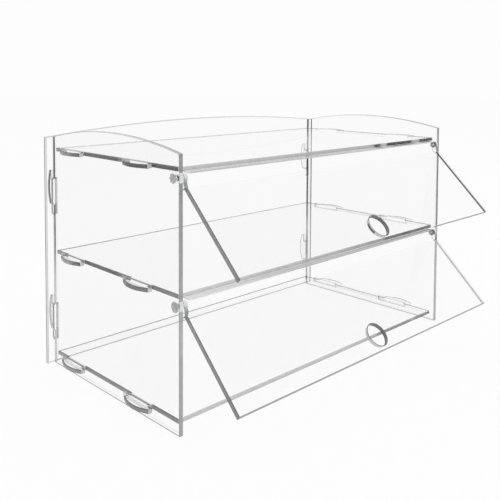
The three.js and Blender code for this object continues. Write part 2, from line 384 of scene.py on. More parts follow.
@dataclass(frozen=True)
class CutEdge:
    """A cut edge of clear acrylic: a streaky grey from outside, and nearly clear from inside.

    The grey is painted reflection and shade, with painted glints in broad paler patches. The stops
    give its tone at places along one axis, in metres.
    """

    name: str
    axis: Axis
    stops: Stops
    cover: float = 0.96
    behind: float = 0.04
    glint_share: float = 0.05
    fine_scale: float = 160.0
    broad_scale: float = 14.0
    grain_scale: float = 900.0
    grain_strength: float = 0.2
    grain_depth: float = 0.00002
    streak_tones: Point = (232, 255)
    glint_tone: float = 235
    roughness: Point = (0.22, 0.2)
    sheen: float = 0.2

    def material(self) -> bpy.types.Material:
        """Build the edge's material: a tone ramp of painted reflection and shade, fine streaks left by
        the cut, painted glints and a gloss.

        Returns:
            The new material.
        """
        material, board = new_material(self.name)
        low, high = self.stops[0][0], self.stops[-1][0]
        share = (board.along(self.axis) - low) / (high - low)
        stops = [((place - low) / (high - low), grey(tone)) for place, tone in self.stops]
        tone = board.node("ShaderNodeValToRGB", {"stops": stops}, {0: share})
        fine = board.noise(self.fine_scale, 2.0)
        broad = board.noise(self.broad_scale, 2.0)
        streaks = board.mix(fine, *map(grey, self.streak_tones))
        darker = board.node(
            "ShaderNodeMix", {"data_type": "RGBA", "blend_type": "MULTIPLY"},
            {0: 1.0, 6: tone, 7: streaks}, output=2)
        grain = board.noise(self.grain_scale, 2.0)
        # The skin's colour is painted: reflection and shade from the ramp, and painted glints where
        # the broad noise is high, which also thin the cover.
        skin = board.node("ShaderNodeBsdfPrincipled", None, {
            "Base Color": board.mix(self.glint_share * broad, darker, grey(self.glint_tone)),
            "Roughness": self.roughness[0] + self.roughness[1] * fine,
            "IOR": ACRYLIC_IOR,
            "Specular IOR Level": self.sheen,
            "Normal": board.bump(grain, self.grain_strength, self.grain_depth),
        })
        seen_outside = self.cover - self.behind - self.glint_share * broad
        board.layer(self.behind + seen_outside * board.in_front(), (1.0, 1.0, 1.0), skin)
        return material


@dataclass(frozen=True)
class MouldedPlastic:
    """Moulded plastic of the small hardware, clear or dark, with a soft uneven gloss."""

    name: str
    light_tone: float
    dark_tone: float
    roughness: float
    cover: float
    cloud_scale: float = 220.0
    grain_scale: float = 700.0
    grain_depth: float = 0.00003
    clear: Colour = (0.97, 0.975, 0.98)
    cloud_cover: float = 0.4
    cover_behind: float = 0.3
    rough_spread: float = 0.15
    grain_strength: float = 0.25

    def material(self) -> bpy.types.Material:
        """Build the moulded material: cloudy tone, fine grain and a little see-through.

        Returns:
            The new material.
        """
        material, board = new_material(self.name)
        cloud = board.noise(self.cloud_scale, 3.0)
        fine = board.noise(self.grain_scale, 2.0)
        skin = board.node("ShaderNodeBsdfPrincipled", None, {
            "Base Color": board.mix(cloud, grey(self.dark_tone), grey(self.light_tone)),
            "Roughness": self.roughness + self.rough_spread * fine,
            "IOR": NYLON_IOR,
            "Normal": board.bump(fine, self.grain_strength, self.grain_depth),
        })
        cover = self.cover + (1 - self.cover) * self.cloud_cover * cloud
        facing = self.cover_behind + (1 - self.cover_behind) * board.in_front()
        board.layer(cover * facing, self.clear, skin)
        return material


class LineTone(Enum):
    """How strongly the broken corners round a sheet show as painted lines of reflection and shade:
    tone, share outside, share inside.
    """

    FIRM = (76.0, 0.95, 0.12)
    SOFT = (120.0, 0.85, 0.12)
    FAINT = (186.0, 0.7, 0.08)
    CLEAR = (244.0, 0.1, 0.02)


def corner_line(strength: LineTone) -> CutEdge:
    """Return the finish of broken corners at one strength, a painted line of reflection and shade.

    Args:
        strength: How strongly the corners show.

    Returns:
        The finish, which all corners of that strength share.
    """
    tone, outside, inside = strength.value
    stops = ((-REACH, tone), (REACH, tone + 8))
    return CutEdge(f"corner_{strength.name.lower()}", Axis.ACROSS, stops, outside, inside)


def plain_cut(tone: float, outside: float = 0.96, inside: float = 0.04) -> CutEdge:
    """Return the finish of a cut edge that keeps one tone of painted reflection and shade.

    Args:
        tone: The tone, from 0 to 255.
        outside: How much of the cut shows from outside.
        inside: How much of it shows from inside.

    Returns:
        The finish, which all cuts of that tone share.
    """
    stops = ((-REACH, tone - 4), (0.0, tone + 4), (REACH, tone - 2))
    name = f"cut_{tone:.0f}_{100 * outside:.0f}_{100 * inside:.0f}"
    return CutEdge(name, Axis.ACROSS, stops, outside, inside)


def level_cut(name: str, inside: float, *stops: Point) -> CutEdge:
    """Return a finish whose painted tone of reflection and shade changes with height, for an edge seen
    through the sheet.
    """
    return CutEdge(name, Axis.HEIGHT, stops, behind=inside)


@dataclass(frozen=True)
class Band:
    """A painted stripe on a sheet: the cut behind it, as it shows through the polished skin, painted
    in as reflection and shade.

    It lies on the faces that look one way, between two distances along another, and no
    higher than its ceiling.
    """

    on: Vector
    along: Vector
    low: float
    high: float
    finish: CutEdge
    ceiling: float = 1.0


def stripe(on: Side, along: Side, low: float, high: float, finish: CutEdge) -> Band:
    """Return the band between two distances along one side, on the faces that look to another."""
    return Band(on.vector, along.vector, low, high, finish)


@dataclass(frozen=True)
class EdgeLook:
    """Which way a cut edge looks, its finish, and how strongly its corners show."""

    side: Side
    cut: CutEdge
    line: LineTone


@dataclass(frozen=True)
class Zone:
    """A box of a sheet, given by its lowest and highest corner, whose edges have a look apart."""

    low: Place
    high: Place
    look: EdgeLook

    def holds(self, spot: Vector) -> bool:
        """Tell whether a point lies in the zone."""
        return all(low < at < high for low, at, high in zip(self.low, spot, self.high))


def box_zone(low: Place, high: Place, cut: CutEdge, line: LineTone) -> Zone:
    """Return a zone whose edges have one cut and one strength of corner, whichever way they look."""
    return Zone(low, high, EdgeLook(Side.TOP, cut, line))


def put(name: str, data: bpy.types.ID) -> bpy.types.Object:
    """Make an object and link it to the scene.

    Args:
        name: The object's name.
        data: Its mesh, camera or lamp.

    Returns:
        The new object.
    """
    made = bpy.data.objects.new(name, data)
    bpy.context.scene.collection.objects.link(made)
    return made


class Workshop:
    """Makes each material once and the mesh pieces that wear them."""

    smooth_angle = math.radians(32)

    def __init__(self, frame: Dict[str, Any]) -> None:
        """Keep the loaded frame and start with no materials.

        Args:
            frame: The loaded frame.
        """
        self.frame = frame
        self.materials: Dict[str, bpy.types.Material] = {}
        self.count = 0

    def dress(self, finish: Any) -> bpy.types.Material:
        """Return a finish's material, made the first time that it is asked for.

        Args:
            finish: A face, a cut edge or a moulded plastic.

        Returns:
            Its material.
        """
        if finish.name not in self.materials:
            self.materials[finish.name] = finish.material()
        return self.materials[finish.name]

    @staticmethod
    def _order_faces(mesh: bmesh.types.BMesh) -> None:
        """Put the faces in the order of their corners, as Blender's cuts change it on each run.

        Args:
            mesh: The finished geometry.
        """
        mesh.verts.index_update()
        ordered = sorted(mesh.faces, key=lambda skin: [corner.index for corner in skin.verts])
        for number, skin in enumerate(ordered):
            skin.index = number
        mesh.faces.sort()

    def add(
        self,
        name: str,
        mesh: bmesh.types.BMesh,
        finishes: Sequence[Any],
        body: str,
        slot: str,
        node: str,
    ) -> bpy.types.Object:
        """Turn a finished bmesh into a piece that rides on its body and stands for its node.

        Args:
            name: The piece's name.
            mesh: The geometry, in the frame's metres. It is freed.
            finishes: The finishes in the order of the faces' material numbers.
            body: The body that the piece moves with.
            slot: The record's material slot. It is not used.
            node: The node that the piece replaces.

        Returns:
            The new object.
        """
        data = bpy.data.meshes.new(name)
        mesh.normal_update()
        self._order_faces(mesh)
        mesh.to_mesh(data)
        mesh.free()
        for finish in finishes:
            data.materials.append(self.dress(finish))
        data.shade_smooth()
        data.set_sharp_from_angle(angle=self.smooth_angle)
        piece = put(name, data)
        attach(piece, body)
        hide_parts(node)
        self.count += 1
        LOG.info("%s: %d faces, on %s", name, len(data.polygons), body)
        return piece


@dataclass
class ClearSheet:
    """One flat acrylic sheet, rebuilt from its node with its edges broken.

    A share is the least cosine between a face's normal and a direction that it is said to look in.
    """

    node: str
    body: str
    facing: Vector
    edges: Sequence[EdgeLook]
    other: EdgeLook
    face: PolishedFace = field(default_factory=PolishedFace)
    break_width: float = 0.0004
    rim_width: float = 0.0009
    turn: float = 0.0
    zones: Sequence[Zone] = ()
    bands: Sequence[Band] = ()
    break_steps: int = 2
    band_slack: float = 1e-5
    cut_slack: float = 1e-7
    least_length: float = 1e-6
    weld: float = 2e-6
    flat_angle: float = math.radians(0.4)
    sharp_angle: float = math.radians(50)
    broad_share: float = 0.7
    look_share: float = 0.72
    band_share: float = 0.9

    def _direction(self, side: Side) -> Vector:
        """Return a side's direction, turned with a sheet that rests at an angle."""
        return Matrix.Rotation(self.turn, 3, "X") @ side.vector

    def _looks(self) -> List[EdgeLook]:
        """Return every edge look of the sheet, in the order of the material numbers."""
        return [*self.edges, self.other, *(zone.look for zone in self.zones)]

    def _look_number(self, normal: Vector, centre: Vector) -> int:
        """Tell which edge look a cut face or a broken corner wears.

        Args:
            normal: The face's normal.
            centre: The face's middle.

        Returns:
            The look's number in the order of _looks.
        """
        for number, zone in enumerate(self.zones):
            if zone.holds(centre):
                return len(self.edges) + 1 + number
        flat = normal - self.facing * normal.dot(self.facing)
        if flat.length > self.least_length:
            flat.normalize()
            for number, look in enumerate(self.edges):
                if flat.dot(self._direction(look.side)) > self.look_share:
                    return number
        return len(self.edges)

    def _draw_rims(self, mesh: bmesh.types.BMesh) -> None:
        """Give each broad face a narrow rim that carries on the corner next to it.

        Args:
            mesh: The sheet, with its corners already broken.
        """
        broad = [skin for skin in mesh.faces if skin.material_index == 0]
        made = bmesh.ops.inset_region(
            mesh, faces=broad, thickness=self.rim_width, use_even_offset=True,
            use_boundary=True)["faces"]
        for rim in made:
            beside = [
                other.material_index for edge in rim.edges for other in edge.link_faces
                if other.material_index and other not in made]
            if beside:
                rim.material_index = beside[0]

    def _paint_bands(self, mesh: bmesh.types.BMesh) -> None:
        """Cut each band's limits into the sheet and give the faces between them its finish.

        Args:
            mesh: The sheet, with its rims drawn.
        """
        first = 1 + 2 * len(self._looks())
        for number, band in enumerate(self.bands):
            for reach in (band.low, band.high):
                everything = [*mesh.verts, *mesh.edges, *mesh.faces]
                bmesh.ops.bisect_plane(
                    mesh, geom=everything, dist=self.cut_slack, plane_co=band.along * reach,
                    plane_no=band.along)
            mesh.normal_update()
            for skin in mesh.faces:
                reaches = [corner.co.dot(band.along) for corner in skin.verts]
                within = (
                    band.low - self.band_slack < min(reaches)
                    and max(reaches) < band.high + self.band_slack
                    and skin.calc_center_median().z < band.ceiling)
                if within and skin.normal.dot(band.on) > self.band_share:
                    skin.material_index = first + number

    def build(self, shop: Workshop) -> bpy.types.Object:
        """Copy the node's shape, break its edges, and dress each face.

        Args:
            shop: The workshop that keeps the materials.

        Returns:
            The new piece.
        """
        mesh = bmesh.new()
        mesh.from_mesh(shop.frame["nodes"][self.node].data)
        bmesh.ops.remove_doubles(mesh, verts=mesh.verts, dist=self.weld)
        bmesh.ops.dissolve_limit(
            mesh, angle_limit=self.flat_angle, verts=mesh.verts, edges=mesh.edges,
            use_dissolve_boundaries=False, delimit={"NORMAL"})
        mesh.normal_update()
        for skin in mesh.faces:
            broad = abs(skin.normal.dot(self.facing)) > self.broad_share
            skin.material_index = 0 if broad else 1
        sharp = [
            edge for edge in mesh.edges
            if len(edge.link_faces) == 2 and edge.calc_face_angle(0.0) > self.sharp_angle]
        bmesh.ops.bevel(
            mesh, geom=sharp, offset=self.break_width, offset_type="OFFSET",
            segments=self.break_steps, profile=0.5, affect="EDGES", clamp_overlap=True, material=2)
        mesh.normal_update()
        for skin in mesh.faces:
            if skin.material_index:
                number = self._look_number(skin.normal, skin.calc_center_median())
                skin.material_index += 2 * number
        self._draw_rims(mesh)
        self._paint_bands(mesh)
        finishes: List[Any] = [self.face]
        for look in self._looks():
            finishes += [look.cut, corner_line(look.line)]
        finishes += [band.finish for band in self.bands]
        return shop.add(
            f"{self.node}_sheet", mesh, finishes, self.body, "clear_acrylic", self.node)


@dataclass(frozen=True)
class ShelfTones:
    """The painted reflection and shade on one shelf's edges, as tones of 0 to 255 and the places where
    they change.
    """

    surface: float
    slots: float
    right_line: float
    rear_line: Tuple[float, float, float]
    front: Stops
    ends: Stops


@dataclass(frozen=True)
class StripTones:
    """The painted reflection on the strip under one shelf, at its front and on its top."""

    front: Stops
    top: Stops


SHELVES = {
    "bottom": ShelfTones(
        0.012, 176, 30, (146, 118, 126),
        front=(
            (-0.216, 196), (-0.1, 190), (0.04, 184), (0.08, 172), (0.092, 164), (0.1, 112),
            (0.165, 108), (0.173, 156), (0.183, 98), (0.216, 108)),
        ends=(
            (FRONT, 118), (-0.036, 120), (0.01, 118), (0.083, 132), (0.09, 142), (REAR, 152))),
    "middle": ShelfTones(
        0.1285, 124, 50, (112, 150, 176),
        front=(
            (-0.216, 206), (-0.15, 204), (-0.1, 190), (0.03, 178), (0.08, 156), (0.104, 158),
            (0.114, 44), (0.165, 30), (0.173, 100), (0.182, 30), (0.216, 44)),
        ends=(
            (FRONT, 112), (-0.036, 104), (-0.03, 96), (0.005, 84), (0.009, 120), (0.015, 116),
            (0.021, 44), (0.075, 66), (0.085, 96), (0.092, 146), (REAR, 146))),
    "top": ShelfTones(
        0.245, 206, 110, (190, 192, 186),
        front=(
            (-0.216, 194), (-0.1, 190), (-0.02, 184), (0.06, 178), (0.082, 176), (0.086, 44),
            (0.094, 44), (0.1, 186), (0.108, 186), (0.113, 20), (0.162, 24), (0.168, 174),
            (0.181, 174), (0.185, 20), (0.212, 20), (0.2157, 130)),
        ends=(
            (FRONT, 44), (-0.045, 40), (-0.036, 66), (-0.03, 52), (0.004, 52), (0.009, 110),
            (0.015, 110), (0.021, 36), (0.075, 56), (0.085, 96), (0.092, 130), (REAR, 136))),
}

STRIPS = {
    "middle": StripTones(
        front=(
            (-0.216, 226), (-0.15, 214), (-0.1, 196), (-0.05, 172), (0.1, 172), (0.216, 168)),
        top=(
            (-0.216, 228), (-0.15, 216), (-0.1, 196), (0.05, 184), (0.12, 168), (0.216, 160))),
    "top": StripTones(
        front=((-0.216, 184), (0.04, 186), (0.1, 198), (0.216, 212)),
        top=(
            (-0.216, 218), (-0.12, 208), (-0.05, 202), (0.06, 204), (0.083, 200), (0.087, 100),
            (0.096, 100), (0.1, 186), (0.112, 186), (0.116, 40), (0.164, 50), (0.169, 190),
            (0.181, 190), (0.186, 40), (0.2, 60), (0.206, 200))),
}


@dataclass
class CaseShell:
    """The fixed sheets: back panel, two side panels, three shelves and two front strips.

    A limit is the lowest and the highest distance of a band or zone, in metres.
    """

    body: str = "case"
    pivot_reach: float = 0.0046
    slots_foot: float = 0.005
    slots_top: float = 0.25
    top_slots_from: float = 0.2
    slots_end: float = 0.139
    deep: float = 0.2
    left_slot_limits: Point = (-0.2215, -0.2195)
    back_slot_limits: Point = (-0.2265, 0.2265)
    back_end_limits: Point = (0.2258, 0.2284)
    back_foot_limits: Point = (0.001, 0.0022)
    left_rear_limits: Point = (0.2172, 0.2193)
    left_hook_limits: Point = (NEAR_REAR, 0.1458)
    right_rear_limits: Point = (0.1388, 0.142)
    hooks_from: float = 0.2159
    slot_limits: Point = (0.2162, 0.2196)
    front_limits: Point = (0.0757, 0.0759)
    rear_line_depths: Point = (0.0014, 0.0003)
    end_line_depths: Point = (0.0009, 0.0001)
    top_right_limits: Point = (0.2128, 0.2156)
    top_left_limits: Point = (0.2128, 0.2157)
    strip_limits: Point = (0.0762, 0.082)

    def _back_slots(self, limits: Point, cut: CutEdge) -> Zone:
        """Return the zone of the back panel's slots between two distances across.

        Args:
            limits: The lowest and the highest distance.
            cut: The finish of the slots.

        Returns:
            The zone.
        """
        low, high = limits
        return box_zone(
            (low, 0.0, self.slots_foot), (high, self.deep, self.slots_top), cut, LineTone.FAINT)

    def back_panel(self) -> ClearSheet:
        """Return the back panel, whose edges have the palest painted tones of all.

        Returns:
            The sheet, with its slots, its right end and its foot.
        """
        left = CutEdge(
            "back_panel_left_cut", Axis.DEPTH,
            ((NEAR_REAR, 234), (0.1442, 230), (0.1446, 104), (BEHIND, 110)))
        slot = CutEdge(
            "left_slot_cut", Axis.DEPTH,
            ((NEAR_REAR, 40), (0.1442, 70), (0.1455, 190), (BEHIND, 200)), behind=0.92)
        edges = [
            EdgeLook(Side.LEFT, left, LineTone.FAINT),
            EdgeLook(Side.RIGHT, plain_cut(205), LineTone.SOFT),
            EdgeLook(Side.TOP, plain_cut(238), LineTone.FAINT),
            EdgeLook(Side.BOTTOM, plain_cut(224), LineTone.CLEAR),
        ]
        other = EdgeLook(Side.TOP, plain_cut(180), LineTone.SOFT)
        # Painted reflection and shade on the right end, black between 0.13 and 0.2 m high.
        end = level_cut(
            "back_panel_right_end", 0.1, (0.0, 150), (0.08, 130), (0.1, 110), (0.12, 30),
            (0.13, 0), (0.2, 0), (0.205, 120), (0.236, 110), (0.242, 10), (HEIGHT, 40))
        foot = CutEdge(
            "back_panel_foot", Axis.ACROSS,
            ((-0.221, 226), (-0.217, 170), (0.215, 166), (0.219, 226)))
        return ClearSheet(
            "back_panel", self.body, Side.BACK.vector, edges, other,
            zones=[
                self._back_slots(self.left_slot_limits, slot),
                self._back_slots(self.back_slot_limits, plain_cut(214))],
            bands=[
                stripe(Side.FRONT, Side.RIGHT, *self.back_end_limits, end),
                stripe(Side.FRONT, Side.TOP, *self.back_foot_limits, foot)])

    def _panel_zone(self, depths: Point, foot: float, cut: CutEdge, line: LineTone) -> Zone:
        """Return a zone of a side panel.

        Args:
            depths: Where it starts and ends from front to rear.
            foot: Its lowest height.
            cut: The finish of its cuts.
            line: How strongly its corners show.

        Returns:
            The zone, as wide as the case and as high as the slots.
        """
        near, far = depths
        return box_zone((-1.0, near, foot), (1.0, far, self.slots_top), cut, line)

    def _side_panel(
        self, side: Side, front: Stops, arch: Stops, top_line: LineTone, bands: List[Band]
    ) -> ClearSheet:
        """Return one side panel.

        Args:
            side: Left or right.
            front: The tones up its front edge.
            arch: The tones along its arched top.
            top_line: How strongly the corners of its top slots show.
            bands: Its bands.

        Returns:
            The panel.
        """
        front_cut = CutEdge(f"{side.word}_panel_front_cut", Axis.HEIGHT, front)
        arch_cut = CutEdge(f"{side.word}_panel_arch_cut", Axis.DEPTH, arch)
        edges = [
            EdgeLook(Side.FRONT, front_cut, LineTone.SOFT),
            EdgeLook(Side.BACK, plain_cut(180), LineTone.SOFT),
            EdgeLook(Side.TOP, arch_cut, LineTone.FAINT),
            EdgeLook(Side.BOTTOM, plain_cut(184), LineTone.SOFT),
        ]
        slots = (FRONT + 0.01, self.slots_end)
        return ClearSheet(
            f"{side.word}_side_panel", self.body, Side.RIGHT.vector, edges,
            EdgeLook(Side.TOP, plain_cut(160), LineTone.SOFT),
            zones=[
                self._panel_zone(
                    (NEAR_REAR, self.deep), self.slots_foot, plain_cut(234, 0.3), LineTone.SOFT),
                self._panel_zone(slots, self.top_slots_from, plain_cut(240, 0.4), top_line),
                self._panel_zone(slots, self.slots_foot, plain_cut(226, 0.6), LineTone.FAINT)],
            bands=bands)

    def left_panel(self) -> ClearSheet:
        """Return the left panel, with painted shade on its rear corner and a paler painted tone on its
        front edge at the pivots.

        Returns:
            The sheet.
        """
        rear = level_cut(
            "left_panel_rear", 0.92, (0.0, 204), (0.1, 198), (0.12, 152), (0.14, 110),
            (0.16, 104), (0.2, 24), (0.235, 10), (0.245, 50), (HEIGHT, 50))
        hook = level_cut(
            "left_panel_slot", 0.04, (0.0, 236), (0.12, 236), (0.13, 40), (0.2, 60))
        bands = [
            stripe(Side.BACK, Side.LEFT, *self.left_rear_limits, rear),
            stripe(Side.LEFT, Side.BACK, *self.left_hook_limits, hook)]
        for pivot in PIVOTS.values():
            low, high = pivot.height - self.pivot_reach, pivot.height + self.pivot_reach
            bands.append(stripe(Side.FRONT, Side.TOP, low, high, plain_cut(226)))
        front = (
            (0.0, 158), (0.07, 158), (0.078, 172), (0.118, 172), (0.126, 150), (0.2, 146),
            (0.245, 138), (HEIGHT, 122))
        arch = ((FRONT, 158), (0.03, 186), (0.09, 176), (REAR, 154))
        return self._side_panel(Side.LEFT, front, arch, LineTone.FAINT, bands)

    def right_panel(self) -> ClearSheet:
        """Return the right panel, with painted shade on its rear corner.

        Returns:
            The sheet.
        """
        rear = level_cut(
            "right_panel_rear", 0.1, (0.0, 186), (0.045, 186), (0.05, 138), (0.08, 138),
            (0.088, 170), (0.1, 140), (0.112, 76), (0.125, 24), (0.15, 8), (0.172, 40), (0.18, 0),
            (0.198, 0), (0.204, 126), (0.236, 126), (0.242, 10), (HEIGHT, 0))
        front = (
            (0.0, 174), (0.125, 172), (0.132, 100), (0.2, 94), (0.222, 106), (0.23, 140),
            (HEIGHT, 124))
        arch = ((FRONT, 124), (0.03, 132), (0.09, 120), (REAR, 130))
        bands = [stripe(Side.LEFT, Side.BACK, *self.right_rear_limits, rear)]
        return self._side_panel(Side.RIGHT, front, arch, LineTone.CLEAR, bands)

    def shelf(self, level: str) -> ClearSheet:
        """Return one shelf.

        Args:
            level: "bottom", "middle" or "top".

        Returns:
            The shelf, with a pale front edge and dark ends, both painted reflection and shade.
        """
        tones = SHELVES[level]
        end = CutEdge(f"{level}_shelf_end_cut", Axis.DEPTH, tones.ends)
        front = CutEdge(f"{level}_shelf_front_cut", Axis.ACROSS, tones.front)
        edges = [
            EdgeLook(Side.FRONT, front, LineTone.FAINT),
            EdgeLook(Side.LEFT, end, LineTone.FIRM),
            EdgeLook(Side.RIGHT, end, LineTone.FIRM),
            EdgeLook(Side.BACK, plain_cut(210), LineTone.CLEAR),
        ]
        rear_line = CutEdge(
            f"{level}_shelf_rear_line", Axis.ACROSS,
            tuple(zip((-0.216, -0.1, 0.216), tones.rear_line)), behind=0.92)
        rear = [tones.surface - depth for depth in self.rear_line_depths]
        right = [tones.surface - depth for depth in self.end_line_depths]
        bands = [
            stripe(Side.TOP, Side.LEFT, *self.slot_limits, plain_cut(tones.slots, inside=0.1)),
            stripe(Side.FRONT, Side.FRONT, *self.front_limits, front),
            stripe(Side.BACK, Side.TOP, *rear, rear_line),
            stripe(Side.RIGHT, Side.TOP, *right, plain_cut(tones.right_line, inside=0.9)),
        ]
        if level == "top":
            # A painted dark stripe of shade near the top shelf's right end.
            dark = plain_cut(120, inside=0.1)
            bands.append(stripe(Side.TOP, Side.RIGHT, *self.top_right_limits, dark))
            bands.append(stripe(Side.TOP, Side.LEFT, *self.top_left_limits, end))
        right_hooks = box_zone(
            (self.hooks_from, -1.0, 0.0), (1.0, 1.0, 1.0), plain_cut(236, 0.16), LineTone.CLEAR)
        return ClearSheet(
            f"{level}_shelf", self.body, Side.TOP.vector, edges,
            EdgeLook(Side.TOP, plain_cut(180), LineTone.SOFT), zones=[right_hooks], bands=bands)

    def front_strip(self, level: str) -> ClearSheet:
        """Return the thin strip under one shelf's front.

        Args:
            level: "middle" or "top".

        Returns:
            The strip.
        """
        cut = CutEdge(f"{level}_strip_front", Axis.ACROSS, STRIPS[level].front)
        mirrored = CutEdge(f"{level}_strip_top", Axis.ACROSS, STRIPS[level].top)
        return ClearSheet(
            f"{level}_front_strip", self.body, Side.TOP.vector,
            [EdgeLook(Side.FRONT, cut, LineTone.FAINT)],
            EdgeLook(Side.BACK, plain_cut(222), LineTone.CLEAR), break_width=0.0002,
            rim_width=0.0003, bands=[stripe(Side.TOP, Side.FRONT, *self.strip_limits, mirrored)])

    def build(self, shop: Workshop) -> None:
        """Build every fixed sheet.

        Args:
            shop: The workshop that keeps the materials.
        """
        sheets = [self.back_panel(), self.left_panel(), self.right_panel()]
        sheets += [self.shelf(level) for level in SHELVES]
        sheets += [self.front_strip(level) for level in STRIPS]
        for sheet in sheets:
            sheet.build(shop)


@dataclass
class Flap:
    """One lift-up door with its finger hole and its two hinge arms.

    The heights are those between which the painted tones of the door's ends and of the arms change.
    Along its pale stretch, the door's lower cut is painted nearly clear.
    """

    level: str
    heights: Point
    arm_heights: Point
    right_tone: float
    bottom: Stops
    bottom_line: LineTone
    pale_until: Optional[float] = None
    rest_angle: float = -math.pi / 4
    hole_reach: float = 0.016
    hole_rise: float = 0.04
    hole_from: float = 0.002
    pale_from: float = -0.215
    pale_height: float = 0.0035
    rear_line_depths: Point = (0.0026, 0.0002)
    eye_reach: float = 0.0022
    pivot_depth: float = -0.0804
    rim_height: float = 0.004

    def door(self) -> ClearSheet:
        """Return the door's sheet, which rests at an angle.

        Returns:
            The sheet, with its finger hole.
        """
        name = f"{self.level}_door"
        turned = Matrix.Rotation(self.rest_angle, 3, "X")
        low, high = self.heights
        end = CutEdge(f"{name}_left_cut", Axis.HEIGHT, ((low, 118), (high, 132)))
        bottom = CutEdge(f"{name}_bottom_cut", Axis.ACROSS, self.bottom)
        edges = [
            EdgeLook(Side.LEFT, end, LineTone.FIRM),
            EdgeLook(Side.RIGHT, end, LineTone.FAINT),
            EdgeLook(Side.BOTTOM, bottom, self.bottom_line),
            EdgeLook(Side.TOP, plain_cut(244, 0.2), LineTone.CLEAR),
        ]
        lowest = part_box(name)[0]
        # The finger hole's bore is painted dark with shade.
        bore = box_zone(
            (-self.hole_reach, lowest.y + self.hole_from, lowest.z + self.hole_from),
            (self.hole_reach, 0.0, lowest.z + self.hole_rise),
            plain_cut(88, inside=0.5), LineTone.FIRM)
        inwards = turned @ Side.BACK.vector
        corners = bpy.data.objects[name].data.vertices
        inner = max(corner.co.dot(inwards) for corner in corners)
        near, far = (inner - depth for depth in self.rear_line_depths)
        # Painted shade: a dark line on the right-facing cut near the door's inner face.
        dark = plain_cut(self.right_tone, inside=0.92)
        bands = [Band(Side.RIGHT.vector, inwards, near, far, dark)]
        if self.pale_until is not None:
            bands.append(Band(
                turned @ Side.BOTTOM.vector, Side.RIGHT.vector, self.pale_from, self.pale_until,
                plain_cut(200, 0.16), lowest.z + self.pale_height))
        return ClearSheet(
            name, f"{self.level}_flap", inwards, edges,
            EdgeLook(Side.TOP, plain_cut(160), LineTone.SOFT), turn=self.rest_angle,
            zones=[bore], bands=bands)

    def arm(self, side: Side) -> ClearSheet:
        """Return one hinge arm, whose rim is painted paler round the pivot.

        Args:
            side: Left or right.

        Returns:
            The arm.
        """
        low, high = self.arm_heights
        rim = level_cut(
            f"{self.level}_arm_cut", 0.04, (low, 120), ((low + high) / 2, 140),
            (high - self.rim_height, 215), (high, 225))
        height = PIVOTS[self.level].height
        eye = box_zone(
            (-1.0, self.pivot_depth - self.eye_reach, height - self.eye_reach),
            (1.0, self.pivot_depth + self.eye_reach, height + self.eye_reach),
            plain_cut(244, 0.2), LineTone.CLEAR)
        return ClearSheet(
            f"{self.level}_{side.word}_hinge_arm", f"{self.level}_flap", Side.RIGHT.vector, [],
            EdgeLook(Side.TOP, rim, LineTone.SOFT), break_width=0.0002, rim_width=0.0004,
            zones=[eye])

    def build(self, shop: Workshop) -> None:
        """Build the door and its arms.

        Args:
            shop: The workshop that keeps the materials.
        """
        self.door().build(shop)
        for side in (Side.LEFT, Side.RIGHT):
            self.arm(side).build(shop)


FLAPS = (
    Flap(
        "lower", (0.039, 0.111), (0.108, 0.124), 184, ((0.09, 168), (0.2, 152)), LineTone.SOFT),
    Flap(
        "upper", (0.155, 0.228), (0.224, 0.241), 20, ((0.09, 124), (0.2, 118)), LineTone.CLEAR,
        pale_until=0.09),
)


def rounded_rim(rounding: float, low: float, high: float, parts: int) -> List[Point]:
    """Return a rim with two rounded corners, as points of (inset, distance out).

    Args:
        rounding: The radius of both corners.
        low: The rim's inner face, out from the case's middle.
        high: Its outer face.
        parts: How many parts each corner has.

    Returns:
        The points, from the inner face to the outer one.
    """
    angles = [math.pi / 2 * step / parts for step in range(parts + 1)]
    turns = [(rounding * (1 - math.sin(at)), rounding * (1 - math.cos(at))) for at in angles]
    return [(inset, low + out) for inset, out in turns] + [(out, high - inset) for inset, out in turns]


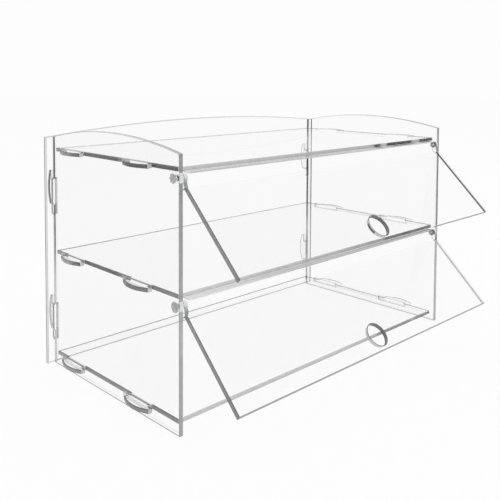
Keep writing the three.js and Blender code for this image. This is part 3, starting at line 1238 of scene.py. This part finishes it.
@dataclass
class TurnedPiece:
    """A piece turned about a pivot line, from its node's box and a profile."""

    node: str
    side: Side
    finish: MouldedPlastic
    slot: str
    body: str = "case"
    steps: int = 64
    rim: Optional[MouldedPlastic] = None
    face_depth: float = 0.0003
    weld: float = 1e-7

    def _across(self, out: float) -> float:
        """Return the place across of a distance out from the case's middle, or the reverse."""
        return self.side.vector.x * out

    def _axis_point(self) -> Vector:
        """Return the middle of the node's box, which lies on the pivot line."""
        low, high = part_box(self.node)
        return (low + high) / 2

    def _reach(self) -> Point:
        """Return where the node starts and ends, out from the case's middle.

        Returns:
            The near and the far distance, in metres.
        """
        low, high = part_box(self.node)
        near, far = sorted((abs(low.x), abs(high.x)))
        return near, far

    def spin(self, profile: Sequence[Point], mesh: bmesh.types.BMesh) -> None:
        """Turn a closed profile about the pivot line.

        Args:
            profile: Points as (radius, distance out from the case's middle), in metres.
            mesh: The bmesh that takes the faces.
        """
        centre = self._axis_point()
        rings: List[List[bmesh.types.BMVert]] = []
        for radius, out in profile:
            ring = []
            for step in range(self.steps if radius > self.weld else 1):
                angle = 2 * math.pi * step / self.steps
                ring.append(mesh.verts.new((
                    self._across(out),
                    centre.y + radius * math.cos(angle),
                    centre.z + radius * math.sin(angle))))
            rings.append(ring)
        for first, second in zip(rings, rings[1:]):
            for step in range(self.steps):
                following = (step + 1) % self.steps
                corners = list(dict.fromkeys((
                    first[step % len(first)], first[following % len(first)],
                    second[following % len(second)], second[step % len(second)])))
                if len(corners) > 2:
                    mesh.faces.new(corners)

    def finish_mesh(self, shop: Workshop, mesh: bmesh.types.BMesh, name: str) -> bpy.types.Object:
        """Weld the mesh, point its faces out and hand it over.

        Args:
            shop: The workshop that keeps the materials.
            mesh: The geometry.
            name: The piece's name.

        Returns:
            The new piece.
        """
        bmesh.ops.remove_doubles(mesh, verts=mesh.verts, dist=self.weld)
        bmesh.ops.recalc_face_normals(mesh, faces=mesh.faces)
        mesh.normal_update()
        outermost = max(self._across(corner.co.x) for corner in mesh.verts)
        for skin in mesh.faces:
            beside = self._across(skin.calc_center_median().x) < outermost - self.face_depth
            skin.material_index = 1 if beside else 0
        finishes = [self.finish, self.rim or self.finish]
        return shop.add(name, mesh, finishes, self.body, self.slot, self.node)


@dataclass
class Ring(TurnedPiece):
    """A washer, collar or nut: a ring with rounded outer edges."""

    hole: float = 0.00152
    rounding: float = 0.0003
    rim_parts: int = 3

    def build(self, shop: Workshop) -> bpy.types.Object:
        """Turn the ring inside its node's box.

        Args:
            shop: The workshop that keeps the materials.

        Returns:
            The new piece.
        """
        low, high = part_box(self.node)
        inner, outer = self._reach()
        radius = (high.z - low.z) / 2
        rim = rounded_rim(self.rounding, inner, outer, self.rim_parts)
        profile = [(self.hole, inner), *((radius - inset, out) for inset, out in rim)]
        mesh = bmesh.new()
        self.spin([*profile, (self.hole, outer), (self.hole, inner)], mesh)
        return self.finish_mesh(shop, mesh, f"{self.node}_turned")


@dataclass
class Thumbscrew(TurnedPiece):
    """A pivot screw with a shank, a short neck and a head, lobed for fingers or a plain disc."""

    lobes: int = 0
    lobe_share: float = 0.2
    lobe_power: float = 1.2
    shank: float = 0.0014
    neck: float = 0.0022
    neck_from: float = 0.2225
    head_depth: float = 0.002
    head_radius: float = 0.0052
    rounding: float = 0.0004
    rim_parts: int = 4
    head_steps: int = 192
    tip_break: float = 0.0003
    neck_overlap: float = 0.0003

    def _outline(self, inset: float) -> List[Point]:
        """Return the head's outline as y and z offsets, drawn in by an inset.

        Args:
            inset: How far the outline is drawn in, in metres.

        Returns:
            The outline's points.
        """
        points = []
        for step in range(self.head_steps):
            angle = 2 * math.pi * step / self.head_steps
            dip = (0.5 - 0.5 * math.cos(self.lobes * angle)) ** self.lobe_power
            radius = self.head_radius - inset - self.lobe_share * self.head_radius * dip
            points.append((radius * math.cos(angle), radius * math.sin(angle)))
        return points

    def _loft_head(self, mesh: bmesh.types.BMesh, low: float, high: float) -> None:
        """Loft the head between two distances, with rounded rims.

        Args:
            mesh: The bmesh that takes the faces.
            low: The head's inner face, out from the case's middle.
            high: The head's outer face.
        """
        centre = self._axis_point()
        rings = []
        for inset, out in rounded_rim(self.rounding, low, high, self.rim_parts):
            rings.append([
                mesh.verts.new((self._across(out), centre.y + y, centre.z + z))
                for y, z in self._outline(inset)])
        for first, second in zip(rings, rings[1:]):
            for step, corner in enumerate(first):
                following = (step + 1) % len(first)
                mesh.faces.new((corner, first[following], second[following], second[step]))
        mesh.faces.new(rings[0])
        mesh.faces.new(rings[-1])

    def build(self, shop: Workshop) -> bpy.types.Object:
        """Build the shank, the neck and the head as one piece.

        Args:
            shop: The workshop that keeps the materials.

        Returns:
            The new piece.
        """
        tip, end = self._reach()
        head_from = end - self.head_depth
        neck_until = head_from + self.neck_overlap
        mesh = bmesh.new()
        self.spin([
            (0.0, tip), (self.shank - self.tip_break, tip), (self.shank, tip + self.tip_break),
            (self.shank, self.neck_from), (self.neck, self.neck_from), (self.neck, neck_until),
            (0.0, neck_until)], mesh)
        self._loft_head(mesh, head_from, end)
        return self.finish_mesh(shop, mesh, f"{self.node}_turned")


@dataclass
class PivotHardware:
    """Screw or pin, washer, collar and nut on each of the four pivots."""

    clear: MouldedPlastic = MouldedPlastic("clear_nylon", 186, 118, 0.16, 0.92)
    ghost: MouldedPlastic = MouldedPlastic("ghost_nylon", 252, 240, 0.2, 0.25)
    film: MouldedPlastic = MouldedPlastic("film_nylon", 252, 240, 0.2, 0.06)
    shade: MouldedPlastic = MouldedPlastic("painted_shade_nylon", 150, 96, 0.3, 0.3)
    dark: MouldedPlastic = MouldedPlastic("dark_rubber", 14, 6, 0.5, 1.0)

    def build(self, shop: Workshop) -> None:
        """Build the hardware of every pivot.

        Args:
            shop: The workshop that keeps the materials.
        """
        for level, pivot in PIVOTS.items():
            Ring(
                f"{level}_left_washer", Side.LEFT, self.film, "clear_nylon",
                rounding=0.0001).build(shop)
            Thumbscrew(
                f"{level}_left_thumbscrew", Side.LEFT, self.clear, "clear_nylon", rim=self.ghost,
                lobes=pivot.lobes, head_depth=pivot.head_depth).build(shop)
            Thumbscrew(
                f"{level}_right_pin", Side.RIGHT, self.ghost, "clear_nylon", neck=0.0014,
                neck_from=0.2199, head_depth=0.0009, head_radius=0.0026).build(shop)
            # The right nuts' rims wear painted shade; the left ones stay nearly clear.
            for side, rim in ((Side.LEFT, self.ghost), (Side.RIGHT, self.shade)):
                name = f"{level}_{side.word}"
                Ring(f"{name}_collar", side, self.dark, "dark_rubber").build(shop)
                Ring(f"{name}_nut", side, self.ghost, "clear_nylon", rim=rim).build(shop)


@dataclass(frozen=True)
class Lamp:
    """One soft square lamp: its place, the length of its sides in metres and its watts."""

    name: str
    place: Place
    size: float
    power: float


@dataclass
class Studio:
    """The white studio: floor, soft lamps, world and the camera at the photograph's angle."""

    backdrop: float = 0.982
    light: float = 1.0
    layers: int = 64
    focal_pixels: float = 696.74
    image_size: int = 500
    sensor: float = 36.0
    clip_range: Point = (0.01, 100.0)
    principal: Point = (233.99, 109.92)
    camera_place: Place = (-0.60771, -0.56201, 0.33046)
    azimuth: float = -43.473
    elevation: float = 3.093
    roll: float = 0.181
    floor_radius: float = 9.0
    floor_steps: int = 96
    floor_tone: float = 0.93
    floor_glow: float = 0.9
    aim: Place = (0.0, 0.0, 0.13)
    lamps: Tuple[Lamp, ...] = (
        Lamp("key_lamp", (-1.2, -1.6, 2.0), 1.6, 9.0),
        Lamp("fill_lamp", (1.8, -0.8, 1.4), 1.6, 4.0),
    )

    def camera(self) -> None:
        """Stand the camera where the photograph was taken from."""
        data = bpy.data.cameras.new("camera")
        data.sensor_width = self.sensor
        data.lens = self.focal_pixels * self.sensor / self.image_size
        half = self.image_size / 2
        data.shift_x = (half - self.principal[0]) / self.image_size
        data.shift_y = (self.principal[1] - half) / self.image_size
        data.clip_start, data.clip_end = self.clip_range
        camera = put("camera", data)
        turn, tilt, roll = (math.radians(x) for x in (self.azimuth, self.elevation, self.roll))
        level = math.cos(tilt)
        back = Vector((math.sin(turn) * level, -math.cos(turn) * level, math.sin(tilt)))
        right = Vector((math.cos(turn), math.sin(turn), 0.0))
        up = back.cross(right)
        rolled_right = right * math.cos(roll) + up * math.sin(roll)
        rolled_up = back.cross(rolled_right)
        turned = Matrix((rolled_right, rolled_up, back)).transposed().to_4x4()
        camera.matrix_world = Matrix.Translation(Vector(self.camera_place)) @ turned
        bpy.context.scene.camera = camera

    def _seen(self, board: Board) -> Signal:
        """Return 1 where a ray sees a surface or the world, straight or in a gloss.

        Args:
            board: The node tree that takes the nodes.

        Returns:
            The mask.
        """
        rays = [
            board.node("ShaderNodeLightPath", output=name)
            for name in ("Is Camera Ray", "Is Glossy Ray", "Is Transmission Ray")]
        return rays[0].highest(rays[1]).highest(rays[2])

    def world(self) -> None:
        """Light the room softly and show it white."""
        world = bpy.data.worlds.new("studio")
        bpy.context.scene.world = world
        board = Board(world)
        kind = "ShaderNodeBackground"
        room = board.node(kind, None, {"Color": (1.0, 1.0, 1.0), "Strength": self.light})
        shown = board.node(kind, None, {"Color": (self.backdrop,) * 3, "Strength": 1.0})
        shader = board.node("ShaderNodeMixShader", None, {0: self._seen(board), 1: room, 2: shown})
        board.finish(shader, "ShaderNodeOutputWorld")

    def floor(self) -> None:
        """Lay a wide pale floor that keeps a trace of the case's shadow."""
        material, board = new_material("studio_floor")
        matt = board.node("ShaderNodeBsdfDiffuse", None, {"Color": (self.floor_tone,) * 3})
        white = board.node(
            "ShaderNodeEmission", None, {"Color": (self.backdrop,) * 3, "Strength": 1.0})
        shown = self.floor_glow * self._seen(board)
        board.finish(board.node("ShaderNodeMixShader", None, {0: shown, 1: matt, 2: white}))
        mesh = bmesh.new()
        bmesh.ops.create_circle(
            mesh, cap_ends=True, radius=self.floor_radius, segments=self.floor_steps)
        data = bpy.data.meshes.new("studio_floor")
        mesh.to_mesh(data)
        mesh.free()
        data.materials.append(material)
        floor = put("studio_floor", data)

    def hang(self, lamp: Lamp) -> None:
        """Hang one lamp so that it looks at the case.

        Args:
            lamp: The lamp.
        """
        data = bpy.data.lights.new(lamp.name, "AREA")
        data.size, data.energy = lamp.size, lamp.power
        made = put(lamp.name, data)
        place = Vector(lamp.place)
        turned = (Vector(self.aim) - place).to_track_quat("-Z", "Y").to_matrix().to_4x4()
        made.matrix_world = Matrix.Translation(place) @ turned
        made.visible_glossy = False

    def build(self) -> None:
        """Set up the whole studio."""
        self.camera()
        self.world()
        self.floor()
        for lamp in self.lamps:
            self.hang(lamp)
        bpy.context.scene.view_settings.view_transform = "Standard"
        bpy.context.scene.cycles.transparent_max_bounces = self.layers


def main() -> None:
    """Build the studio and dress the case, piece by piece."""
    logging.basicConfig(level=logging.INFO, format="%(name)s: %(message)s")
    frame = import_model()
    Studio().build()
    shop = Workshop(frame)
    CaseShell().build(shop)
    for flap in FLAPS:
        flap.build(shop)
    PivotHardware().build(shop)
    LOG.info("%d pieces", shop.count)


if __name__ == "__main__":
    main()
